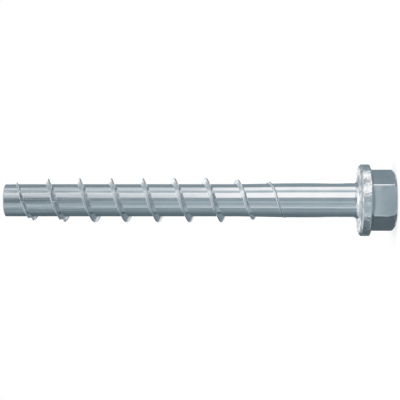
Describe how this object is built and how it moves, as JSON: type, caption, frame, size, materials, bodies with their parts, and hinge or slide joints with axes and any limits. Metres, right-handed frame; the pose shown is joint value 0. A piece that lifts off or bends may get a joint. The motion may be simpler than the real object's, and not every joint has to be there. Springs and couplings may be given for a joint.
{
  "type": "concrete screw",
  "caption": "Self-tapping concrete screw with a flanged hex head, locking ribs under the flange and a coarse ridge thread whose first turns are notched into cutting teeth.",
  "frame": {"origin": "centre of the end face of the hex head, which stands on the floor", "axes": "+Z along the screw's axis from the head to the tip; two corners of the hex lie on the X axis"},
  "size_m": [0.0202, 0.0202, 0.11],
  "materials": {
    "zinc_plated_steel": "bright zinc plating over cold-formed steel, with fine drawing lines along the shank and core"
  },
  "bodies": {
    "root": {"concrete_screw": "zinc_plated_steel"}
  },
  "joints": []
}
